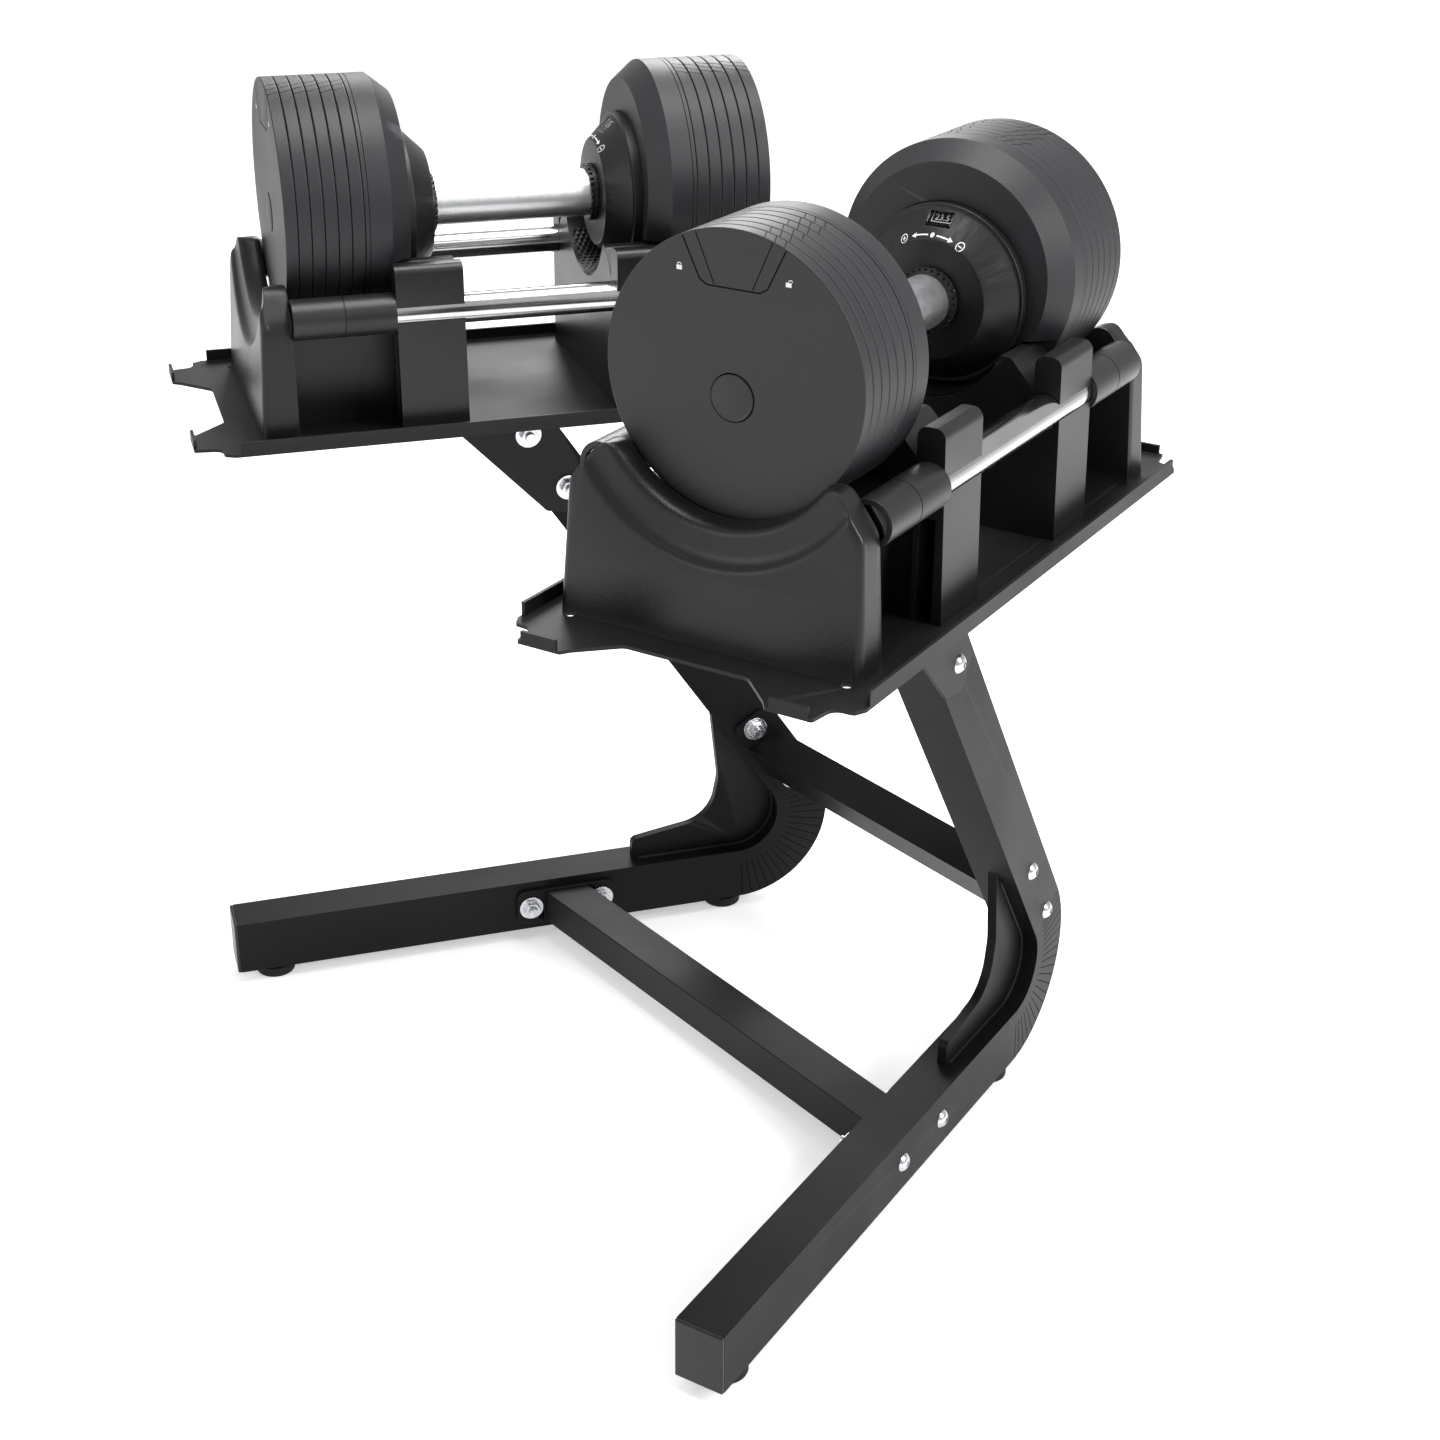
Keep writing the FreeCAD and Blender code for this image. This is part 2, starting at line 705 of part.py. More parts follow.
def cradle_rod(side):
    reach = saddle_rear - 3
    return rod_along(rod_radius, -reach, reach, side * rod_side, rod_height)


def unit_place(shape, side):
    """Put a tray-frame shape on the right (side 1) or the left (side -1) tray."""
    tray_station = upright_centre(tray_height) - tray_setback
    centre = leg_point(tray_station, -tray_inset, tray_height)
    placed = shape.copy()
    placed.rotate(Vec(0, 0, 0), Vec(0, 0, 1), side * half_angle)
    placed.translate(Vec(side * centre.x, centre.y, centre.z))
    return placed


def stand_nodes():
    crossbar_spots, tray_spots = bolt_stations()
    outer = tube_width / 2
    flange_face = -outer - flange_thickness
    ear_outer = outer + clear + ear_thickness
    bolts = [through_bolt(station, z, outer, flange_face) for station, z in crossbar_spots]
    nuts = [nut_and_washer(station, z, flange_face) for station, z in crossbar_spots]
    tray_bolts = [through_bolt(station, z, ear_outer, -ear_outer) for station, z in tray_spots]
    tray_nuts = [nut_and_washer(station, z, -ear_outer) for station, z in tray_spots]
    feet = [foot(leg_front - front_foot_inset), foot(rear_foot_station)]
    lower = (lower_bar_station, foot_height + tube_depth / 2)
    upper = (upright_centre(upper_bar_height), upper_bar_height)
    pairs = {
        "leg": [leg_tube()],
        "gusset": [gusset()],
        "tray_bracket": [bracket()],
    }
    groups = {
        "leg_end_caps": [end_cap()],
        "rubber_feet": feet,
        "crossbar_bolts": bolts,
        "crossbar_nuts": nuts,
        "tray_bolts": tray_bolts,
        "tray_nuts": tray_nuts,
    }
    nodes = {}
    for name, shapes in pairs.items():
        right = leg_place(shapes[0])
        nodes["right_" + name] = [right]
        nodes["left_" + name] = [mirrored(right)]
    for name, shapes in groups.items():
        right = [leg_place(shape) for shape in shapes]
        nodes[name] = right + [mirrored(shape) for shape in right]
    nodes["lower_crossbar"] = [crossbar(lower, 0)]
    nodes["upper_crossbar"] = [crossbar(upper, -(90 - upright_lean))]
    return nodes


def unit_nodes():
    """Everything on one tray, in the tray frame."""
    nodes = {"tray": [tray_sheet()]}
    front_saddle, rear_saddle = both_ends(saddle())
    front_post, rear_post = both_ends(post_unit())
    nodes["front_saddle"] = [front_saddle]
    nodes["rear_saddle"] = [rear_saddle]
    nodes["front_post"] = [front_post]
    nodes["rear_post"] = [rear_post]
    front_collars = [collar(1), collar(-1)]
    nodes["rod_collars"] = front_collars + [both_ends(shape)[1] for shape in front_collars]
    nodes["cradle_rods"] = [cradle_rod(1), cradle_rod(-1)]
    plates = plate_stack()
    nodes["front_plates"] = plates
    nodes["rear_plates"] = [both_ends(shape)[1] for shape in plates]
    nodes["front_head"], nodes["rear_head"] = [[shape] for shape in both_ends(head())]
    nodes["front_hub"] = [hub(False)]
    nodes["rear_hub"] = [both_ends(hub(True))[1]]
    nodes["window_lens"] = [both_ends(window_lens())[1]]
    nodes["display_ring"] = [both_ends(display_ring())[1]]
    nodes["end_badges"] = list(both_ends(end_badge()))
    nodes["grip"] = [grip_tube()]
    nodes["toothed_rings"] = list(both_ends(toothed_ring()))
    nodes["drive_nuts"] = list(both_ends(drive_nut()))
    nodes["front_shaft"], nodes["rear_shaft"] = [[shape] for shape in both_ends(selector_shaft())]
    return nodes


def build():
    nodes = stand_nodes()
    for prefix, side in (("left_", -1), ("right_", 1)):
        for name, shapes in unit_nodes().items():
            nodes[prefix + name] = [unit_place(shape, side) for shape in shapes]
    everything = Part.makeCompound([shape for shapes in nodes.values() for shape in shapes])
    bounds = everything.BoundBox
    recentre = Vec(0, -(bounds.YMin + bounds.YMax) / 2, 0)
    os.makedirs("parts", exist_ok=True)
    for name, shapes in nodes.items():
        solids = [solid for shape in shapes for solid in shape.Solids]
        result = solids[0] if len(solids) == 1 else Part.makeCompound(solids)
        result.translate(recentre)
        result.exportStep("parts/" + name + ".step")
    print("nodes", len(nodes), "recentre y", round(recentre.y, 3))


build()
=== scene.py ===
import json
import math

import bmesh
import bpy
import numpy as np
from mathutils import Matrix, Vector


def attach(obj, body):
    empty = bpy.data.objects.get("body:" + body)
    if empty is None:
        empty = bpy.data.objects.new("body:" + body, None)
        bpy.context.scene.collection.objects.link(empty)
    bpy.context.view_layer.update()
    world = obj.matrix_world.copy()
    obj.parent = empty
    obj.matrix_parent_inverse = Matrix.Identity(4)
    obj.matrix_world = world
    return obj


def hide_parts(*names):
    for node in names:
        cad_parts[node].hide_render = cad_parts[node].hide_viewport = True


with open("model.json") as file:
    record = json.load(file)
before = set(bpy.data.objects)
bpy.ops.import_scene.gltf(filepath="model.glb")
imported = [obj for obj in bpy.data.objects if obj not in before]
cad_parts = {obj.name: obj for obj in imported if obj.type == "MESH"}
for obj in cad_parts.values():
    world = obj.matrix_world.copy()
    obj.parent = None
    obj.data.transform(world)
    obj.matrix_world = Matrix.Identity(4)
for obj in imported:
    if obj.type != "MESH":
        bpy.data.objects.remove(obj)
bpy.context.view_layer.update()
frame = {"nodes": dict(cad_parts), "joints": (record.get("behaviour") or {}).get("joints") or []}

nodes = frame["nodes"]
joints = {joint["name"]: joint for joint in frame["joints"]}
mm = 0.001
sides = ("left", "right")
print("frame loaded:", len(nodes), "nodes")


# finishes: small helpers first, so that each finish below stays short

def newMaterial(name):
    material = bpy.data.materials.new(name)
    material.use_nodes = True
    tree = material.node_tree
    return material, tree, tree.nodes["Principled BSDF"]


def addNode(tree, kind, **settings):
    made = tree.nodes.new(kind)
    for key, value in settings.items():
        setattr(made, key, value)
    return made


def objectNoise(tree, scale, detail, roughness=0.55):
    coords = addNode(tree, "ShaderNodeTexCoord")
    noise = addNode(tree, "ShaderNodeTexNoise")
    noise.inputs["Scale"].default_value = scale
    noise.inputs["Detail"].default_value = detail
    noise.inputs["Roughness"].default_value = roughness
    tree.links.new(coords.outputs["Object"], noise.inputs["Vector"])
    return noise


def ramp(tree, source, low, high, lowColour, highColour):
    # one colour below low, the other above high, and a blend between
    made = addNode(tree, "ShaderNodeValToRGB")
    made.color_ramp.elements[0].position = low
    made.color_ramp.elements[1].position = high
    made.color_ramp.elements[0].color = (*lowColour, 1)
    made.color_ramp.elements[1].color = (*highColour, 1)
    tree.links.new(source, made.inputs["Fac"])
    return made.outputs["Color"]


def spread(tree, source, low, high):
    # the middle part of a noise stretched over the range from low to high
    made = addNode(tree, "ShaderNodeMapRange")
    made.inputs["From Min"].default_value = 0.3
    made.inputs["From Max"].default_value = 0.7
    made.inputs["To Min"].default_value = low
    made.inputs["To Max"].default_value = high
    tree.links.new(source, made.inputs["Value"])
    return made.outputs["Result"]


def addBump(tree, shader, height, strength, distance):
    bump = addNode(tree, "ShaderNodeBump")
    bump.inputs["Strength"].default_value = strength
    bump.inputs["Distance"].default_value = distance
    tree.links.new(height, bump.inputs["Height"])
    tree.links.new(bump.outputs["Normal"], shader.inputs["Normal"])


def edgeWearAndHighlight(tree, shader, base, edgeWearAndHighlightColour, low, high, amount):
    # lighter colour where the surface is convex: partly paint wear along edges, partly a painted highlight
    # along them
    geometry = addNode(tree, "ShaderNodeNewGeometry")
    edgeWearAndHighlightMask = addNode(tree, "ShaderNodeMapRange")
    edgeWearAndHighlightMask.inputs["From Min"].default_value = low
    edgeWearAndHighlightMask.inputs["From Max"].default_value = high
    edgeWearAndHighlightMask.inputs["To Max"].default_value = amount
    mix = addNode(tree, "ShaderNodeMix", data_type="RGBA")
    mix.inputs["B"].default_value = (*edgeWearAndHighlightColour, 1)
    tree.links.new(geometry.outputs["Pointiness"], edgeWearAndHighlightMask.inputs["Value"])
    tree.links.new(edgeWearAndHighlightMask.outputs["Result"], mix.inputs["Factor"])
    tree.links.new(base, mix.inputs["A"])
    tree.links.new(mix.outputs["Result"], shader.inputs["Base Color"])


# what the black finishes share: where the tone drift turns, how fine it is, and how edges show wear and a
# painted highlight
blackSizes = {"driftScale": 9.0, "driftLow": 0.35, "driftHigh": 0.68, "grain": 0.35,
              "edgeLow": 0.53, "edgeHigh": 0.62, "edgeAmount": 0.55}


def blackFinish(name, dark, light, roughLow, roughHigh, grainScale, grainDepth, edge, specular):
    # broad tone drift, a fine moulded or sprayed grain, and slightly paler edges that are partly wear and
    # partly a painted highlight
    material, tree, shader = newMaterial(name)
    b = blackSizes
    broad = objectNoise(tree, b["driftScale"], 3.0)
    grain = objectNoise(tree, grainScale, 2.0, 0.6)
    shader.inputs["Specular IOR Level"].default_value = specular
    colour = ramp(tree, broad.outputs["Fac"], b["driftLow"], b["driftHigh"], dark, light)
    # paler convex edges: partly paint wear, partly a painted highlight along the edge
    edgeWearAndHighlight(tree, shader, colour, edge, b["edgeLow"], b["edgeHigh"], b["edgeAmount"])
    tree.links.new(spread(tree, broad.outputs["Fac"], roughLow, roughHigh), shader.inputs["Roughness"])
    addBump(tree, shader, grain.outputs["Fac"], b["grain"], grainDepth)
    return material


def makePowderCoat():
    return blackFinish("powderCoat", (0.0032, 0.0032, 0.0036), (0.0055, 0.0055, 0.006), 0.4, 0.5,
                       900.0, 0.00025, (0.025, 0.025, 0.027), 0.13)


def makeTraySteel():
    return blackFinish("traySteel", (0.007, 0.007, 0.007), (0.01, 0.01, 0.0105), 0.42, 0.55,
                       1100.0, 0.0002, (0.03, 0.03, 0.032), 0.22)


def makeCradlePlastic():
    return blackFinish("cradlePlastic", (0.0055, 0.0055, 0.0062), (0.009, 0.009, 0.0099), 0.27, 0.36,
                       1400.0, 0.0004, (0.06, 0.06, 0.064), 0.34)


def makeHubPlastic():
    return blackFinish("hubPlastic", (0.006, 0.006, 0.0066), (0.009, 0.009, 0.01), 0.34, 0.44,
                       1600.0, 0.0002, (0.024, 0.024, 0.026), 0.38)


def makeDiscCoat():
    return blackFinish("discCoat", (0.0105, 0.0108, 0.0128), (0.0155, 0.016, 0.0182), 0.42, 0.52,
                       1200.0, 0.0005, (0.08, 0.08, 0.084), 0.4)


def makeRubber():
    return blackFinish("rubber", (0.006, 0.006, 0.006), (0.01, 0.01, 0.01), 0.7, 0.85,
                       500.0, 0.0004, (0.015, 0.015, 0.015), 0.3)


def makeSeam():
    return blackFinish("seamShadow", (0.001, 0.001, 0.001), (0.002, 0.002, 0.002), 0.8, 0.95,
                       400.0, 0.0001, (0.003, 0.003, 0.003), 0.1)


def metalFinish(name, low, high, roughLow, roughHigh, scale, depth):
    # bare metal whose tone and polish drift together
    material, tree, shader = newMaterial(name)
    shader.inputs["Metallic"].default_value = 1.0
    streaks = objectNoise(tree, scale, 5.0, 0.6)
    colour = ramp(tree, streaks.outputs["Fac"], 0.3, 0.7, low, high)
    tree.links.new(colour, shader.inputs["Base Color"])
    tree.links.new(spread(tree, streaks.outputs["Fac"], roughLow, roughHigh), shader.inputs["Roughness"])
    addBump(tree, shader, streaks.outputs["Fac"], 0.12, depth)
    return material


def makeZinc():
    return metalFinish("brightZinc", (0.42, 0.43, 0.45), (0.74, 0.75, 0.77), 0.16, 0.34, 160.0, 0.0004)


def makeChrome():
    return metalFinish("mirrorChrome", (0.5, 0.495, 0.49), (0.58, 0.575, 0.57), 0.13, 0.2, 14.0, 0.00002)


def makeBrightSteel():
    return metalFinish("turnedSteel", (0.4, 0.4, 0.42), (0.6, 0.6, 0.62), 0.2, 0.34, 200.0, 0.0002)


def makeGripAluminium():
    # fine turned lines round the tube, read from the piece's own coordinates
    material, tree, shader = newMaterial("gripAluminium")
    shader.inputs["Metallic"].default_value = 1.0
    coords = addNode(tree, "ShaderNodeUVMap", uv_map="turned")
    mapping = addNode(tree, "ShaderNodeMapping")
    mapping.inputs["Scale"].default_value = (420.0, 7.0, 1.0)
    noise = addNode(tree, "ShaderNodeTexNoise")
    noise.inputs["Scale"].default_value = 1.0
    noise.inputs["Detail"].default_value = 3.0
    tree.links.new(coords.outputs["UV"], mapping.inputs["Vector"])
    tree.links.new(mapping.outputs["Vector"], noise.inputs["Vector"])
    colour = ramp(tree, noise.outputs["Fac"], 0.3, 0.7, (0.72, 0.73, 0.745), (0.86, 0.87, 0.88))
    tree.links.new(colour, shader.inputs["Base Color"])
    tree.links.new(spread(tree, noise.outputs["Fac"], 0.3, 0.42), shader.inputs["Roughness"])
    addBump(tree, shader, noise.outputs["Fac"], 0.25, 0.00008)
    return material


def makePrintWhite():
    material, tree, shader = newMaterial("printWhite")
    noise = objectNoise(tree, 700.0, 2.0)
    colour = ramp(tree, noise.outputs["Fac"], 0.3, 0.7, (0.62, 0.62, 0.62), (0.8, 0.8, 0.8))
    tree.links.new(colour, shader.inputs["Base Color"])
    tree.links.new(spread(tree, noise.outputs["Fac"], 0.4, 0.55), shader.inputs["Roughness"])
    return material


def makeWindowClear():
    material, tree, shader = newMaterial("windowClear")
    noise = objectNoise(tree, 60.0, 2.0)
    shader.inputs["Base Color"].default_value = (0.95, 0.96, 0.97, 1)
    shader.inputs["Transmission Weight"].default_value = 1.0
    shader.inputs["IOR"].default_value = 1.2
    tree.links.new(spread(tree, noise.outputs["Fac"], 0.0, 0.04), shader.inputs["Roughness"])
    return material


finish = {
    "powder": makePowderCoat(),
    "tray": makeTraySteel(),
    "cradle": makeCradlePlastic(),
    "hub": makeHubPlastic(),
    "disc": makeDiscCoat(),
    "rubber": makeRubber(),
    "seam": makeSeam(),
    "zinc": makeZinc(),
    "chrome": makeChrome(),
    "steel": makeBrightSteel(),
    "aluminium": makeGripAluminium(),
    "print": makePrintWhite(),
    "window": makeWindowClear(),
}
print("finishes made:", len(finish))


def pieceFromArrays(name, points, faces, material, smooth=True, sharpAngle=35):
    mesh = bpy.data.meshes.new(name)
    mesh.from_pydata(points.tolist(), [], faces)
    mesh.update()
    mesh.polygons.foreach_set("use_smooth", [smooth] * len(mesh.polygons))
    if smooth:
        mesh.set_sharp_from_angle(angle=math.radians(sharpAngle))
    mesh.materials.append(material)
    piece = bpy.data.objects.new(name, mesh)
    bpy.context.scene.collection.objects.link(piece)
    return piece


def outwardNormals(piece):
    work = bmesh.new()
    work.from_mesh(piece.data)
    bmesh.ops.remove_doubles(work, verts=work.verts, dist=1e-6)
    bmesh.ops.recalc_face_normals(work, faces=work.faces)
    work.to_mesh(piece.data)
    work.free()


def gridFaces(rows, columns, wrapRows=False, wrapColumns=False):
    # quads of a rows x columns grid of points, closed round either way if asked
    lastRow = rows if wrapRows else rows - 1
    lastColumn = columns if wrapColumns else columns - 1
    i, j = np.meshgrid(np.arange(lastRow), np.arange(lastColumn), indexing="ij")
    nextI, nextJ = (i + 1) % rows, (j + 1) % columns
    quads = np.stack([i * columns + j, nextI * columns + j,
                      nextI * columns + nextJ, i * columns + nextJ], -1)
    return quads.reshape(-1, 4).tolist()


def dressedNode(nodeName, body, material, bevel=0.8, segments=2, limit=32):
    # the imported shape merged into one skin, with small rounded edges that catch the light
    piece = bpy.data.objects.new(nodeName + "Skin", bpy.data.meshes.new(nodeName + "Skin"))
    work = bmesh.new()
    work.from_mesh(nodes[nodeName].data)
    bmesh.ops.remove_doubles(work, verts=work.verts, dist=2e-6)
    bmesh.ops.dissolve_limit(work, angle_limit=math.radians(0.6), verts=work.verts, edges=work.edges)
    work.to_mesh(piece.data)
    work.free()
    piece.data.polygons.foreach_set("use_smooth", [True] * len(piece.data.polygons))
    piece.data.set_sharp_from_angle(angle=math.radians(limit))
    piece.data.materials.append(material)
    bpy.context.scene.collection.objects.link(piece)
    if bevel:
        rounding = piece.modifiers.new("roundedEdges", "BEVEL")
        rounding.width = bevel * mm
        rounding.segments = segments
        rounding.limit_method = "ANGLE"
        rounding.angle_limit = math.radians(limit)
        rounding.harden_normals = True
    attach(piece, body)
    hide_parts(nodeName)
    return piece


def unitPlace(side):
    # handle centre, and the directions across, forward along the handle, and up
    joint = joints[side + "_handle_turn"]
    centre = np.array(joint["pos_m"])
    ahead = np.array(joint["axis"])
    ahead = ahead / np.linalg.norm(ahead)
    across = np.cross(ahead, [0, 0, 1.0])
    across = -across / np.linalg.norm(across)
    return centre, across, ahead, np.array([0, 0, 1.0])


def toWorld(side, across, ahead, up):
    # handle centre plus each distance along its own direction, one row per point
    centre, acrossAxis, aheadAxis, upAxis = unitPlace(side)
    across, ahead, up = np.broadcast_arrays(across, ahead, up)
    return (centre + across[..., None] * acrossAxis + ahead[..., None] * aheadAxis
            + up[..., None] * upAxis).reshape(-1, 3)


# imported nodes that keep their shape, with the width of their rounded edges in millimetres
standPieces = {
    "powder": (2.2, ["left_leg", "right_leg", "left_gusset", "right_gusset",
                     "lower_crossbar", "upper_crossbar"]),
    "tray": (0.7, ["left_tray", "right_tray", "left_tray_bracket", "right_tray_bracket"]),
    "rubber": (0.8, ["rubber_feet"]),
    "cradle": (0.8, ["leg_end_caps"]),
    "zinc": (0.5, ["crossbar_bolts", "crossbar_nuts", "tray_bolts", "tray_nuts"]),
}
for finishName, (width, names) in standPieces.items():
    for nodeName in names:
        dressedNode(nodeName, "stand", finish[finishName], width, 3)
for side in sides:
    for end in ("front", "rear"):
        dressedNode(f"{side}_{end}_post", "stand", finish["cradle"], 1.6, 3)
        dressedNode(f"{side}_{end}_head", side + "_dumbbell", finish["disc"], 1.5, 3)
        dressedNode(f"{side}_{end}_hub", side + "_dumbbell", finish["hub"], 0.8, 3)
        dressedNode(f"{side}_{end}_plates", side + "_dumbbell", finish["disc"], 0.9, 3)
        nodes[f"{side}_{end}_shaft"].data.materials[0] = finish["steel"]
    dressedNode(side + "_rod_collars", "stand", finish["cradle"], 0.6, 2)
    dressedNode(side + "_cradle_rods", "stand", finish["chrome"], 0.4, 2)
    dressedNode(side + "_end_badges", side + "_dumbbell", finish["disc"], 0, 2)
    dressedNode(side + "_toothed_rings", side + "_handle", finish["hub"], 0.2, 1)
    nodes[side + "_drive_nuts"].data.materials[0] = finish["steel"]
    nodes[side + "_display_ring"].data.materials[0] = finish["seam"]
    nodes[side + "_window_lens"].data.materials[0] = finish["window"]
print("packed nodes dressed")


# flat marks: strokes of a given width along lines of points in a plane

def stroke(line, width, closed=False):
    # each point is moved half a width to the left and to the right of the line's direction
    line = np.asarray(line, float)
    if closed:
        ahead = np.roll(line, -1, 0) - np.roll(line, 1, 0)
    else:
        ahead = np.gradient(line, axis=0)
    ahead /= np.linalg.norm(ahead, axis=1)[:, None]
    left = np.stack([-ahead[:, 1], ahead[:, 0]], 1) * width / 2
    points = np.concatenate([line - left, line + left])
    count = len(line)
    here = np.arange(count if closed else count - 1)
    following = (here + 1) % count
    return points, np.stack([here, following, following + count, here + count], 1).tolist()


def lineThrough(corners, step=0.8):
    # points every step along the straight runs between the corners
    corners = np.asarray(corners, float)
    runs = np.linalg.norm(np.diff(corners, axis=0), axis=1)
    total = np.concatenate([[0], np.cumsum(runs)])
    at = np.union1d(np.arange(0, total[-1], step), total)
    return np.stack([np.interp(at, total, corners[:, 0]), np.interp(at, total, corners[:, 1])], 1)


def arcLine(centre, radius, start, end, count=40):
    # sine and cosine of the turn from straight up, times the radius, about the centre
    turn = np.radians(np.linspace(start, end, count))
    return np.stack([centre[0] + radius * np.sin(turn), centre[1] + radius * np.cos(turn)], 1)


def merged(strokes):
    # several sets of points and faces joined into one
    points, faces, offset = [], [], 0
    for strokePoints, strokeFaces in strokes:
        points.append(strokePoints)
        faces += [[index + offset for index in face] for face in strokeFaces]
        offset += len(strokePoints)
    return np.concatenate(points), faces


def textShape(words, size):
    # the flat outline of some figures as points and faces, centred on its own middle
    curve = bpy.data.curves.new("figures", "FONT")
    curve.body, curve.size = words, size
    carrier = bpy.data.objects.new("figures", curve)
    bpy.context.scene.collection.objects.link(carrier)
    bpy.context.view_layer.update()
    mesh = bpy.data.meshes.new_from_object(carrier)
    points = np.zeros(len(mesh.vertices) * 3)
    mesh.vertices.foreach_get("co", points)
    faces = [list(polygon.vertices) for polygon in mesh.polygons]
    bpy.data.objects.remove(carrier)
    bpy.data.meshes.remove(mesh)
    points = points.reshape(-1, 3)[:, :2]
    return points - (points.min(0) + points.max(0)) / 2, faces


# saddles: the wall in front of each end disc, with a stepped lip under it

saddleSizes = {
    "halfWidth": 108.0, "shoulderIn": 5.0, "shoulder": 88.0, "peak": 114.0, "peakSide": 83.0,
    "landSide": 68.0, "plateCentre": 163.5, "axisHeight": 151.0, "rounding": 4,
    "draft": 3.5, "draftFrom": 207.0, "draftRun": 12.0,
    # distance from the middle, how far the edge is drawn in, and the radius of the lip there
    "station": [219.0, 218.4, 217.0, 215.0, 212.5, 210.6, 209.2,
                208.2, 207.2, 205.0, 202.0, 197.0, 192.0, 190.6],
    "inset": [5.0, 2.4, 0.9, 0, 0, 0, 0, 0, 0, 0, 0, 0, 0, 0.8],
    "lip": [115.5, 113.2, 111.6, 110.4, 108.6, 104.6, 99.0, 94.0, 91.2, 89.4, 88.3, 87.2, 87.0, 88.0],
}


def saddleOutline(inset, lip):
    # up the side, over the shoulder and peak to where the lip's circle crosses, then half of that circle
    z = saddleSizes
    half = z["halfWidth"] - inset
    low = np.linspace([-half, 0], [-half + z["shoulderIn"], z["shoulder"] - inset], 22, endpoint=False)
    top = lineThrough([(-half + z["shoulderIn"], z["shoulder"] - inset),
                       (-z["peakSide"], z["peak"] - inset), (-z["landSide"] + 10, z["peak"] - inset)], 0.1)
    reach = np.linalg.norm(top - [0, z["plateCentre"]], axis=1)
    crossing = int(np.argmax(reach < lip))
    top = top[np.linspace(0, crossing, 16).astype(int)]
    start = np.arctan2(top[-1, 0], top[-1, 1] - z["plateCentre"])
    turn = np.linspace(start % (2 * np.pi), np.pi, 34)[1:]
    arc = np.stack([lip * np.sin(turn), z["plateCentre"] + lip * np.cos(turn)], 1)
    leftHalf = np.concatenate([low, top, arc])
    outline = np.concatenate([leftHalf, leftHalf[-2::-1] * [-1, 1]])
    for _ in range(z["rounding"]):
        outline[1:-1] = (outline[:-2] + 2 * outline[1:-1] + outline[2:]) / 4
    return outline


def makeSaddle(side, end):
    # one outline per distance from the middle, the front ones leaning back with the moulding draft
    z = saddleSizes
    outlines = np.stack([saddleOutline(inset, lip) for inset, lip in zip(z["inset"], z["lip"])])
    station = np.array(z["station"])[:, None]
    lean = np.clip((station - z["draftFrom"]) / z["draftRun"], 0, 1) * np.tan(np.radians(z["draft"]))
    ahead = station - outlines[..., 1] * lean
    sign = 1 if end == "front" else -1
    points = toWorld(side, outlines[..., 0] * mm, sign * ahead * mm,
                     (outlines[..., 1] - z["axisHeight"]) * mm)
    rows, columns = outlines.shape[:2]
    faces = gridFaces(rows, columns, wrapColumns=True)
    faces += [list(range(columns)), list(range((rows - 1) * columns, rows * columns))[::-1]]
    piece = pieceFromArrays(f"{side}{end.title()}SaddleShell", points, faces, finish["cradle"])
    outwardNormals(piece)
    piece.data.set_sharp_from_angle(angle=math.radians(50))
    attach(piece, "stand")
    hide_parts(f"{side}_{end}_saddle")


for side in sides:
    for end in ("front", "rear"):
        makeSaddle(side, end)
print("saddles made")


# seat under each hub with its small moulded cells

seatSizes = {"radius": 65.75, "from": 62.5, "to": 92.0, "spread": 50.0, "cell": 4.2, "depth": 0.5,
             "around": 230, "along": 60}


def makeSeatCells(side, end):
    # part of a cylinder round the handle axis; its radius dips towards the middle of each six-sided cell
    z = seatSizes
    turn = np.linspace(-np.radians(z["spread"]), np.radians(z["spread"]), z["around"])
    ahead = np.linspace(z["from"], z["to"], z["along"])
    turnGrid, aheadGrid = np.meshgrid(turn, ahead, indexing="ij")
    u = turnGrid * z["radius"] / z["cell"]
    v = aheadGrid / z["cell"]
    wave = (np.cos(2 * np.pi * u) + np.cos(np.pi * (u + np.sqrt(3) * v))
            + np.cos(np.pi * (u - np.sqrt(3) * v)))
    dip = np.clip((wave + 1.0) / 3.0, 0, 1) * z["depth"]
    radius = z["radius"] + dip - z["depth"]
    sign = 1 if end == "front" else -1
    points = toWorld(side, radius * np.sin(turnGrid) * mm, sign * aheadGrid * mm,
                     -radius * np.cos(turnGrid) * mm)
    faces = gridFaces(len(turn), len(ahead))
    if end == "front":
        faces = [face[::-1] for face in faces]
    piece = pieceFromArrays(f"{side}{end.title()}SeatCells", points, faces, finish["cradle"], sharpAngle=80)
    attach(piece, "stand")


for side in sides:
    for end in ("front", "rear"):
        makeSeatCells(side, end)
print("seat cells made")


# grip

gripSizes = {"radius": 18.4, "bore": 14.0, "half": 74.0, "edge": 0.6, "around": 96, "along": 40}


